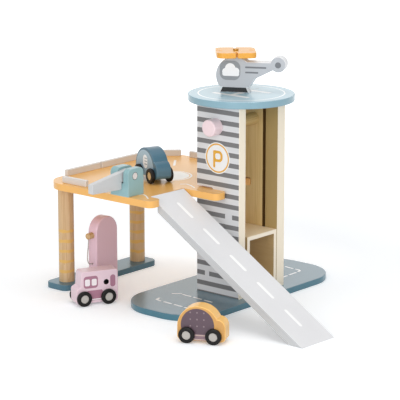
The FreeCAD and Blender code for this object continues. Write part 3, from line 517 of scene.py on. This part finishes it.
dress(bareWood("stripedFrontWall", towerSettings, wallMarks(-1, True)), "tower_front_wall")
dress(bareWood("stripedBackPanel", towerSettings, wallMarks(1, False)), "tower_back_panel")
dress(bareWood("birchWall", towerSettings, grooved), "tower_back_wall")
print("tower walls finished")


# Roof: helipad ring and cross strokes, plugs over its screws, and a painted highlight on the top

roofSettings = {
    "colour": "84A9B7",
    # painted highlight: a paler paint for the top than for the rim
    "top": "ABCBD8",
    "coat": 0.65,
    "line": "FAFCFC",
    "ringRadius": 62.5,
    "ringHalf": 1.1,
    "bars": [((0, -24), (33, 4.2)), ((0, 25), (33, 4.2)), ((0, 0), (4.2, 24))],
    "barCorner": 0.6,
    "plug": "8CA9B4",
    "plugs": [(-5.5, -40.5), (-5.5, 43)],
    "plugRadius": 3,
}


def helipadMarks(tree, point, colour):
    settings = roofSettings
    place = flat(tree, point)
    ring = rimOf(tree, disc(tree, place, (0, 0), settings["ringRadius"]), settings["ringHalf"])
    bars = [panel(tree, place, *bar, settings["barCorner"]) for bar in settings["bars"]]
    plugs = [disc(tree, place, centre, settings["plugRadius"]) for centre in settings["plugs"]]
    top = facing(tree, (0, 0, 1))
    # painted highlight: the top takes a paler paint than the rim
    paint = over(tree, colour, linear(settings["top"]), top)
    lined = printed(tree, paint, settings["line"], anyOf(tree, [ring, *bars]), top)
    return printed(tree, lined, settings["plug"], anyOf(tree, plugs), top)


dress(painted("roofPaint", roofSettings, helipadMarks), "roof_disc")
print("roof painted")


# Deck: turning circle, kerb strokes and a lane dash

deckSettings = {
    "colour": "F3B865",
    "wearAndHighlight": 0.15,
    "line": "FDF8EF",
    "circleCentre": (-116, -26),
    "circleRadius": 34,
    "circleGap": 30.5,
    "gapHalf": 0.9,
    "strokes": [
        ((-158.5, 33), (-181, 61), 1.8),
        ((-67, -150), (-62, -143), 1.1), ((-62, -143), (-53, -147.5), 1.1),
        ((-53, -147.5), (-40, -158), 1.1),
        ((-66, -58), (-60, -52), 1.1), ((-60, -52), (-49, -55), 1.1), ((-49, -55), (-36, -62.5), 1.1),
    ],
}


def deckMarks(tree, point, colour):
    settings = deckSettings
    place = flat(tree, point)
    circle = disc(tree, place, settings["circleCentre"], settings["circleRadius"])
    gap = rimOf(tree, disc(tree, place, settings["circleCentre"], settings["circleGap"]),
                settings["gapHalf"])
    filled = maths(tree, "MAXIMUM", circle, maths(tree, "MULTIPLY", gap, -1))
    strokes = [stroke(tree, place, *line) for line in settings["strokes"]]
    top = facing(tree, (0, 0, 1))
    return printed(tree, colour, settings["line"], anyOf(tree, [filled, *strokes]), top)


dress(painted("deckPaint", deckSettings, deckMarks), "deck", "ramp_ledge")
print("deck painted")


# Posts: turned wood with painted bands

postSettings = {
    "pale": "DBBA90",
    "dark": "CAA578",
    "fibres": (0.5, 0.5, 0.02),
    "rings": 3,
    "band": "E3B352",
    "bandShare": 0.75,
    "bandFoot": 25.5,
    "bandPitch": 15.4,
    "bandHalf": 2.2,
    "bandSoft": 0.3,
    "bandsFrom": 18,
    "bandsTop": 96,
    "sway": 4,
    "swayScale": 0.12,
}


def postBands(tree, point, colour):
    settings = postSettings
    up = partsOf(tree, point)[2]
    wander = noise(tree, point, settings["swayScale"])
    level = maths(tree, "SUBTRACT", up, settings["bandFoot"] + settings["sway"] / 2)
    lifted = maths(tree, "MULTIPLY_ADD", wander, settings["sway"], level)
    away = maths(tree, "PINGPONG", lifted, settings["bandPitch"] / 2)
    zone = both(tree, maths(tree, "LESS_THAN", up, settings["bandsTop"]),
                maths(tree, "GREATER_THAN", up, settings["bandsFrom"]))
    bands = maths(tree, "SUBTRACT", away, settings["bandHalf"])
    return printed(tree, colour, settings["band"], bands, zone, settings["bandShare"],
                   soft=settings["bandSoft"])


dress(bareWood("bandedPost", postSettings, postBands), "deck_post_front", "deck_post_back")


# Rails

railSettings = {"colour": "DAD3CC", "fibres": (0.05, 0.05, 0.7), "roughness": 0.42}

dress(painted("railPaint", railSettings), "rail_front", "rail_left_front", "rail_left_back",
      "rail_corner", "rail_back_left", "rail_back_right")


# Ramp: painted shade on the side faces, and a lane dash down the middle in its own frame

rampSettings = {
    "colour": "E4E4E6",
    # painted shade: a darker paint for the side faces than for the top
    "side": "C7C8C9",
    "wearAndHighlight": 0.05,
    "roughness": 0.5,
    "place": (-44.45, -111.6, 0),
    "turn": -1.9,
    "line": "FDFDFD",
    "dashes": 5,
    "firstDash": 22,
    "dashPitch": 50.4,
    "dashLong": 25,
    "dashHalf": 2.7,
}


def laneDashes(tree, point, colour):
    settings = rampSettings
    place = flat(tree, point)
    starts = [settings["firstDash"] + settings["dashPitch"] * index for index in range(settings["dashes"])]
    dashes = [stroke(tree, place, (start, 0), (start + settings["dashLong"], 0), settings["dashHalf"])
              for start in starts]
    top = facing(tree, (0, 0, 1))
    # painted shade: the side faces take a darker paint than the top
    paint = over(tree, linear(settings["side"]), colour, top)
    return printed(tree, paint, settings["line"], anyOf(tree, dashes), top)


dress(painted("rampPaint", rampSettings, laneDashes), "ramp")


# Barrier: block with a shadowed rim round the ends of its dowel, arm and dowels

blockSettings = {
    "colour": "8FB4B8",
    "fibres": (0.05, 0.7, 0.7),
    "rim": "54666B",
    "rimRadius": 5.7,
    "rimSoft": 0.3,
    "pinCentre": (-157.3, 194.7),
}
armSettings = {"colour": "CBCCCD", "fibres": (0.7, 0.03, 0.7)}
dowelSettings = {"pale": "E6E3E4", "dark": "CFC8C2", "fibres": (0.04, 0.6, 0.6)}


def pinRim(tree, point, colour):
    rim = disc(tree, flat(tree, point, "Y", "Z"), blockSettings["pinCentre"], blockSettings["rimRadius"])
    return printed(tree, colour, blockSettings["rim"], rim, soft=blockSettings["rimSoft"])


dress(painted("blockPaint", blockSettings, pinRim), "barrier_block")
dress(painted("armPaint", armSettings), "barrier_arm")
dress(bareWood("dowelWood", dowelSettings), "barrier_pin", "roof_dowels")
print("posts, rails, ramp and barrier finished")


# Winder and lift

knobSettings = {"colour": "F0D8DC", "fibres": (0.7, 0.05, 0.7)}
spoolSettings = {"pale": "D4B67C", "dark": "B99A60", "fibres": (0.6, 0.03, 0.6)}
guideSettings = {"pale": "D9AE72", "dark": "B9874B", "fibres": (0.6, 0.6, 0.03)}
liftSettings = {
    "pale": "D6BA88",
    "dark": "CBAD7B",
    "fibres": (0.03, 0.6, 0.6),
    "rings": 4,
    # painted highlight on top, and painted shade on the inner face below
    "top": "F3E0BE",
    "litTopShare": 0.95,
    "inner": "AE9468",
    "innerShare": 0.7,
}


def liftMarks(tree, point, colour):
    # painted highlight on top, as pale as the cut edges, and painted shade on the inner face
    settings = liftSettings
    top = both(tree, facing(tree, (0, 0, 1)), settings["litTopShare"])
    inner = both(tree, facing(tree, (0, -1, 0)), settings["innerShare"])
    lit = over(tree, colour, linear(settings["top"]), top)
    return cutEdges(tree, over(tree, lit, linear(settings["inner"]), inner))


dress(painted("knobPaint", knobSettings), "lift_knob")
dress(bareWood("turnedSpool", spoolSettings), "lift_spool")
dress(bareWood("liftBoard", liftSettings, liftMarks),
      "lift_floor", "lift_top", "lift_wall_front", "lift_wall_back")
dress(bareWood("guideWood", guideSettings), "lift_guide")
print("winder and lift finished")


# Helicopter: pale board, grey printed sides with a window, two lines and a dark skid

helicopterSettings = {
    "colour": "E8E9EB",
    "coat": 0.2,
    "wearAndHighlight": 0.12,
    "place": (-13.1, 2.7, 300.8),
    "turn": 28,
    "sideFrom": 9.9,
    "side": "B9BCC1",
    "glass": "8D9195",
    "window": ((-6.3, 32.2), (15.2, 14.2), 10),
    "cloud": "F1F1F2",
    "cloudDiscs": [((-12.6, 30.2), 5.2), ((-6, 35), 7.6), ((1.8, 31), 5.6)],
    "cloudBase": ((-5.2, 27), (12.4, 3), 2.9),
    "line": "74777C",
    "lines": [((17, 37.4), (45.5, 37.4), 1.3), ((17, 29.9), (34, 29.9), 1.2)],
    "tailDot": ((63.8, 41.8), 4.4),
    "skid": "0B1116",
    "skidFoot": 0.7,
    "skidTop": 7.6,
    "skidHalf": 21.4,
    "skidSlope": 0.5,
}
rotorSettings = {"colour": "EBA73C", "wearAndHighlight": 0.08, "fibres": (0.05, 0.5, 0.7)}


def skidShape(tree, point):
    # a low trapeze: narrower upwards, between its foot and its top
    settings = helicopterSettings
    parts = partsOf(tree, point)
    beside = maths(tree, "SUBTRACT", maths(tree, "ABSOLUTE", parts["X"]), settings["skidHalf"])
    spread = maths(tree, "MULTIPLY_ADD", parts["Z"], settings["skidSlope"], beside)
    middle = (settings["skidFoot"] + settings["skidTop"]) / 2
    level = maths(tree, "ABSOLUTE", maths(tree, "SUBTRACT", parts["Z"], middle))
    return either(tree, spread, maths(tree, "SUBTRACT", level, settings["skidTop"] - middle))


def helicopterMarks(tree, point, colour):
    settings = helicopterSettings
    place = flat(tree, point, "X", "Z")
    side = printed(tree, linear(settings["side"]), settings["glass"],
                   panel(tree, place, *settings["window"]))
    cloud = [disc(tree, place, *puff) for puff in settings["cloudDiscs"]]
    cloud.append(panel(tree, place, *settings["cloudBase"]))
    side = printed(tree, side, settings["cloud"], anyOf(tree, cloud))
    lines = [stroke(tree, place, *line) for line in settings["lines"]]
    lines.append(disc(tree, place, *settings["tailDot"]))
    side = printed(tree, side, settings["line"], anyOf(tree, lines))
    side = printed(tree, side, settings["skid"], skidShape(tree, point))
    return over(tree, colour, side, farFromMiddle(tree, point, settings["sideFrom"]))


dress(painted("helicopterPaint", helicopterSettings, helicopterMarks), "heli_body")
dress(painted("rotorPaint", rotorSettings), "heli_rotor")
print("helicopter painted")


# Fuel pump

pumpSettings = {"colour": "E9C6D3", "fibres": (0.7, 0.7, 0.03), "relief": 0.3}
nozzleSettings = {"pale": "DDBA8C", "dark": "B98D57", "fibres": (0.6, 0.04, 0.6)}

dress(painted("pumpPaint", pumpSettings), "pump_body")
dress(bareWood("nozzleWood", nozzleSettings), "pump_nozzle")


# Fuel hose: a twisted cord from the hole in the pump's narrow side up into the nozzle

hoseSettings = {
    "route": [
        (-181.0, -124.4, 39.5),
        (-181.0, -133.2, 39.9),
        (-181.5, -136.0, 47.4),
        (-181.8, -134.6, 60.0),
        (-181.3, -133.4, 71.0),
        (-181.0, -133.2, 80.5),
    ],
    "roundings": 4,
    "cornerShare": 0.25,
    "length": 49.1,
    "diameter": 1.7,
    "sides": 16,
    "colour": "E4DAD6",
    "shade": "A79C99",
    "twist": 1.6,
    "slant": 0.6,
    "roughness": 0.85,
    "relief": 0.8,
    "reliefDepth": 0.2,
}


def hoseLine():
    # each rounding cuts every corner of the route at a share of its two legs
    line = np.array(hoseSettings["route"]) * millimetre
    share = hoseSettings["cornerShare"]
    for _ in range(hoseSettings["roundings"]):
        before = (1 - share) * line[:-1] + share * line[1:]
        after = share * line[:-1] + (1 - share) * line[1:]
        corners = np.stack([before, after], axis=1).reshape(-1, 3)[1:-1]
        line = np.vstack([line[:1], corners, line[-1:]])
    return line


def hoseMesh(line):
    # a tube: a point is the line's own point, plus half the diameter times the cosine of the turn
    # along one square direction and its sine along the other
    along = np.gradient(line, axis=0)
    along /= np.linalg.norm(along, axis=1)[:, None]
    across = np.cross(along, (1.0, 0, 0))
    across /= np.linalg.norm(across, axis=1)[:, None]
    upright = np.cross(along, across)
    sides, rows = hoseSettings["sides"], len(line)
    turn = np.linspace(0, 2 * np.pi, sides, endpoint=False)
    ring = np.cos(turn)[:, None] * across[:, None] + np.sin(turn)[:, None] * upright[:, None]
    surface = (line[:, None] + ring * hoseSettings["diameter"] / 2 * millimetre).reshape(-1, 3)
    here = np.arange(sides)
    around = np.stack([here, (here + 1) % sides, (here + 1) % sides + sides, here + sides], axis=1)
    wall = (np.arange(rows - 1)[:, None, None] * sides + around).reshape(-1, 4)
    ends = [here[::-1].tolist(), (here + (rows - 1) * sides).tolist()]
    mesh = bpy.data.meshes.new("fuel_hose")
    mesh.from_pydata(surface.tolist(), [], wall.tolist() + ends)
    mesh.shade_smooth()
    return mesh


def twistedCord():
    settings = hoseSettings
    material, tree, shader = newMaterial("twistedCord")
    parts = partsOf(tree, inPieceFrame(tree))
    aside = maths(tree, "MULTIPLY", maths(tree, "ADD", parts["X"], parts["Y"]), settings["slant"])
    rise = maths(tree, "MULTIPLY", maths(tree, "ADD", parts["Z"], aside), 2 * math.pi / settings["twist"])
    strand = maths(tree, "MULTIPLY_ADD", maths(tree, "SINE", rise), 0.5, 0.5)  # brought to between 0 and 1
    tone = over(tree, linear(settings["shade"]), linear(settings["colour"]), strand)
    tree.links.new(tone, shader.inputs["Base Color"])
    shader.inputs["Roughness"].default_value = settings["roughness"]
    emboss(tree, shader, strand, settings)
    return material


def makeHose():
    line = hoseLine()
    hose = bpy.data.objects.new("fuel_hose", hoseMesh(line))
    hose.data.materials.append(twistedCord())
    bpy.context.scene.collection.objects.link(hose)
    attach(hose, "pump")
    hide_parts("pump_hose")


makeHose()
print("pump painted, fuel hose hung")


# Vehicles: each body in its own frame, X forward, middle of the thickness at Y 0, ground at Z 0

vehicles = ("yellow_car", "pink_van", "blue_car")
vehicleEnds = ("front", "rear")
vehicleSettings = {"sideFrom": 11.9, "fibres": (0.04, 0.6, 0.6)}

yellowSettings = {
    **vehicleSettings,
    "colour": "FFC86E",
    "wearAndHighlight": 0.12,
    "place": (110.4, -215.4, 0),
    "turn": 25.8,
    "side": "D5A05A",
    "patch": "604D57",
    "patchDisc": ((-4.2, 25), 23.4),
    "patchFoot": 10,
    "spot": "8D7A80",
    "spotPitch": 9.5,
    "spotRadius": 1.1,
    "spotArea": ((-4.5, 33), (15.5, 11), 8),
    "sill": "8E747C",
    "sillArea": ((0, 8), (9.2, 4.6), 0.8),
    "sillLine": "D9BFB0",
    "sillLines": [((-9, 11), (9, 11), 0.5), ((-9, 5.2), (9, 5.2), 0.5)],
}


def spotGrid(tree, place, pitch, radius, shift=100):
    # one disc in the middle of each cell; a shift by whole cells keeps the remainder above zero
    shifted = vectors(tree, "ADD", place, (shift * pitch,) * 3)
    cell = vectors(tree, "SUBTRACT", vectors(tree, "MODULO", shifted, (pitch,) * 3), (pitch / 2,) * 3)
    return disc(tree, flat(tree, cell), (0, 0), radius)


def yellowMarks(tree, point, colour):
    settings = yellowSettings
    place = flat(tree, point, "X", "Z")
    below = maths(tree, "SUBTRACT", settings["patchFoot"], partsOf(tree, place)[1])
    patch = either(tree, disc(tree, place, *settings["patchDisc"]), below)
    side = printed(tree, linear(settings["side"]), settings["patch"], patch)
    spots = spotGrid(tree, place, settings["spotPitch"], settings["spotRadius"])
    area = inside(tree, panel(tree, place, *settings["spotArea"]))
    side = printed(tree, side, settings["spot"], spots, area)
    side = printed(tree, side, settings["sill"], panel(tree, place, *settings["sillArea"]))
    lines = [stroke(tree, place, *line) for line in settings["sillLines"]]
    side = printed(tree, side, settings["sillLine"], anyOf(tree, lines))
    return over(tree, colour, side, farFromMiddle(tree, point, settings["sideFrom"]))


vanSettings = {
    **vehicleSettings,
    "colour": "E6CBD5",
    "place": (-132, -176.8, 0),
    "turn": -115.4,
    "art": "A9768A",
    "artPanels": [((7.5, 34.5), (11, 9), 4.5), ((1.5, 14.5), (12.5, 7.5), 3), ((-26.5, 33.5), (4, 9), 4)],
    "pane": "F2E9EC",
    "panePanels": [((2.3, 34), (3.9, 5), 2.2), ((12.7, 34), (3.9, 5), 2.2)],
    "sillLines": [((-10.5, 8.4), (13, 8.4), 0.8)],
    # painted shade inside the nozzle hole
    "hole": "1D1A1B",
    "holeDisc": ((-16.3, 32.6), 4.3),
    "holeFrom": 11.95,
}


def vanMarks(tree, point, colour):
    settings = vanSettings
    place = flat(tree, point, "X", "Z")
    art = [panel(tree, place, *area) for area in settings["artPanels"]]
    side = printed(tree, colour, settings["art"], anyOf(tree, art))
    pale = [panel(tree, place, *area) for area in settings["panePanels"]]
    pale += [stroke(tree, place, *line) for line in settings["sillLines"]]
    side = printed(tree, side, settings["pane"], anyOf(tree, pale))
    body = over(tree, colour, side, farFromMiddle(tree, point, settings["sideFrom"]))
    # painted shade inside the hole for the nozzle
    deep = maths(tree, "SUBTRACT", 1, farFromMiddle(tree, point, settings["holeFrom"]))
    return printed(tree, body, settings["hole"], disc(tree, place, *settings["holeDisc"]), deep)


blueSettings = {
    **vehicleSettings,
    "colour": "4C7184",
    "place": (-113.1, -64.2, 166),
    "turn": -20.8,
    "side": "9FBDD0",
    "sideDisc": ((-5.2, 17.8), 27.6),
    "badge": "F4FAFF",
    "badgeArea": ((-4, 28.5), (7, 10), 6.9),
    "badgeBar": "9FB2BE",
    "badgeBars": [((-5.5, 33.4), (1.5, 33.6), 0.8), ((-5.5, 29), (1.5, 29.2), 0.8),
                  ((-5.5, 24.6), (1.5, 24.8), 0.8)],
}


def blueMarks(tree, point, colour):
    settings = blueSettings
    place = flat(tree, point, "X", "Z")
    side = printed(tree, colour, settings["side"], disc(tree, place, *settings["sideDisc"]))
    side = printed(tree, side, settings["badge"], panel(tree, place, *settings["badgeArea"]))
    bars = [stroke(tree, place, *line) for line in settings["badgeBars"]]
    side = printed(tree, side, settings["badgeBar"], anyOf(tree, bars))
    return over(tree, colour, side, farFromMiddle(tree, point, settings["sideFrom"]))


tyreSettings = {
    "colour": "0F0D0C",
    "fibres": (0.3, 0.3, 0.3),
    "roughness": 0.5,
    "relief": 0.4,
    "coat": 0.12,
    "wearAndHighlight": 0.012,
}
hubSettings = {"colour": "B7B2AC", "fibres": (0.6, 0.6, 0.6), "roughness": 0.5, "relief": 0.4}
hubWoodSettings = {"pale": "F0D8A8", "dark": "D9B67C", "fibres": (0.5, 0.5, 0.5)}


def wheelParts(kind, *names):
    return [f"{name}_{end}_{kind}" for name in names for end in vehicleEnds]


dress(painted("yellowCarPaint", yellowSettings, yellowMarks), "yellow_car_body")
dress(painted("vanPaint", vanSettings, vanMarks), "pink_van_body")
dress(painted("blueCarPaint", blueSettings, blueMarks), "blue_car_body")
dress(painted("tyreBlack", tyreSettings), *wheelParts("tyres", *vehicles))
dress(painted("hubPaint", hubSettings), *wheelParts("hubs", "yellow_car", "pink_van"))
dress(bareWood("hubWood", hubWoodSettings), *wheelParts("hubs", "blue_car"))
print("vehicles painted")


# Metal: steel axles and base screws, a brass screw in the rotor

steelSettings = {"colour": "B9BBBE", "roughness": 0.32}
brassSettings = {"colour": "B98A3E", "roughness": 0.45}
brushSettings = {
    "lines": (0.2, 2.5, 2.5),
    "detail": 4,
    "shade": 0.995,
    "shadeSpread": 0.15,
    "roughnessSpread": 0.2,
}


def brushedMetal(name, settings):
    material, tree, shader = newMaterial(name)
    point = vectors(tree, "MULTIPLY", inPieceFrame(tree), brushSettings["lines"])
    brush = noise(tree, point, detail=brushSettings["detail"])
    shade = varied(tree, brushSettings["shade"], brushSettings["shadeSpread"], brush)
    tone = addNode(tree, "HueSaturation", {"Value": shade, "Color": linear(settings["colour"])})
    tree.links.new(tone.outputs[0], shader.inputs["Base Color"])
    rough = varied(tree, settings["roughness"], brushSettings["roughnessSpread"], brush)
    tree.links.new(rough, shader.inputs["Roughness"])
    shader.inputs["Metallic"].default_value = 1
    return material


dress(brushedMetal("brushedSteel", steelSettings), "base_screws", *wheelParts("axle", *vehicles))
dress(brushedMetal("brushedBrass", brassSettings), "rotor_screw")
print("metal brushed")


# Studio: white floor that keeps the shadows, with painted light thinning them under the deck, soft lamps,
# even surround

studioSettings = {
    "floorHalf": 12,
    "floorColour": "F1F4F7",
    "floorRoughness": 0.9,
    "floorSheen": 0.1,
    "mottle": 0.02,
    "mottleScale": 0.01,
    "farGlow": {"From Min": 350, "From Max": 1500, "To Min": 0, "To Max": 0.55},
    # painted light: the floor glows more near the deck, thinning its shadow
    "shadeGlow": {"From Min": 30, "From Max": 290, "To Min": 0.44, "To Max": 0.23},
    "shadeCentre": (-200, 90, 0),
    "surround": 0.5,
    "lamps": [
        {"name": "overheadLamp", "place": (0.3, -0.2, 2.6), "size": 2.0, "power": 20},
        {"name": "rightLamp", "place": (2.6, -1.2, 1.0), "size": 1.6, "power": 11},
        {"name": "frontLamp", "place": (1.3, -2.8, 0.9), "size": 1.8, "power": 34},
        {"name": "backLamp", "place": (-1.9, 2.4, 1.0), "size": 2.6, "power": 4.5},
    ],
    "aim": (-0.02, -0.05, 0.12),
}


def seenByCamera(tree):
    path = addNode(tree, "LightPath").outputs
    return either(tree, *(path[name] for name in ("Is Camera Ray", "Is Glossy Ray", "Is Transmission Ray")))


def paperSweep():
    settings = studioSettings
    material, tree, shader = newMaterial("paperSweep")
    point = inPieceFrame(tree)
    shade = varied(tree, 1, settings["mottle"], noise(tree, point, settings["mottleScale"]))
    tone = addNode(tree, "HueSaturation", {"Value": shade, "Color": linear(settings["floorColour"])})
    tree.links.new(tone.outputs[0], shader.inputs["Base Color"])
    shader.inputs["Roughness"].default_value = settings["floorRoughness"]
    shader.inputs["Specular IOR Level"].default_value = settings["floorSheen"]
    shader.inputs["Emission Color"].default_value = (1, 1, 1, 1)
    # the paper runs out to pure white behind the toy
    away = vectors(tree, "LENGTH", point, result="Value")
    far = addNode(tree, "MapRange", {"Value": away, **settings["farGlow"]}).outputs[0]
    # and glows more under the deck: painted light that thins the shadow there
    aside = vectors(tree, "DISTANCE", point, settings["shadeCentre"], result="Value")
    underDeckLight = addNode(tree, "MapRange", {"Value": aside, **settings["shadeGlow"]}).outputs[0]
    glow = maths(tree, "MULTIPLY", seenByCamera(tree), maths(tree, "ADD", far, underDeckLight))
    tree.links.new(glow, shader.inputs["Emission Strength"])
    return material


def makeFloor():
    half = studioSettings["floorHalf"]
    mesh = bpy.data.meshes.new("studioFloor")
    mesh.from_pydata([(-half, -half, 0), (half, -half, 0), (half, half, 0), (-half, half, 0)], [],
                     [(0, 1, 2, 3)])
    mesh.materials.append(paperSweep())
    floor = bpy.data.objects.new("studioFloor", mesh)
    bpy.context.scene.collection.objects.link(floor)


def makeSurround():
    world = bpy.data.worlds.new("studioSurround")
    world.use_nodes = True
    tree = world.node_tree
    tree.nodes.clear()
    # white to the camera and in reflections, dimmer as a light
    dim = studioSettings["surround"]
    strength = maths(tree, "MULTIPLY_ADD", seenByCamera(tree), 1 - dim, dim)
    glow = addNode(tree, "Background", {"Color": (1, 1, 1, 1), "Strength": strength})
    output = addNode(tree, "OutputWorld")
    tree.links.new(glow.outputs[0], output.inputs["Surface"])
    bpy.context.scene.world = world


def makeLamps():
    aim = Vector(studioSettings["aim"])
    for settings in studioSettings["lamps"]:
        light = bpy.data.lights.new(settings["name"], "AREA")
        light.shape = "DISK"
        light.size = settings["size"]
        light.energy = settings["power"]
        lamp = bpy.data.objects.new(settings["name"], light)
        bpy.context.scene.collection.objects.link(lamp)
        lamp.location = settings["place"]
        lamp.rotation_euler = (aim - lamp.location).to_track_quat("-Z", "Y").to_euler()


makeFloor()
makeSurround()
makeLamps()
bpy.context.scene.view_settings.view_transform = "Standard"
print("studio lit")

bpy.context.view_layer.update()
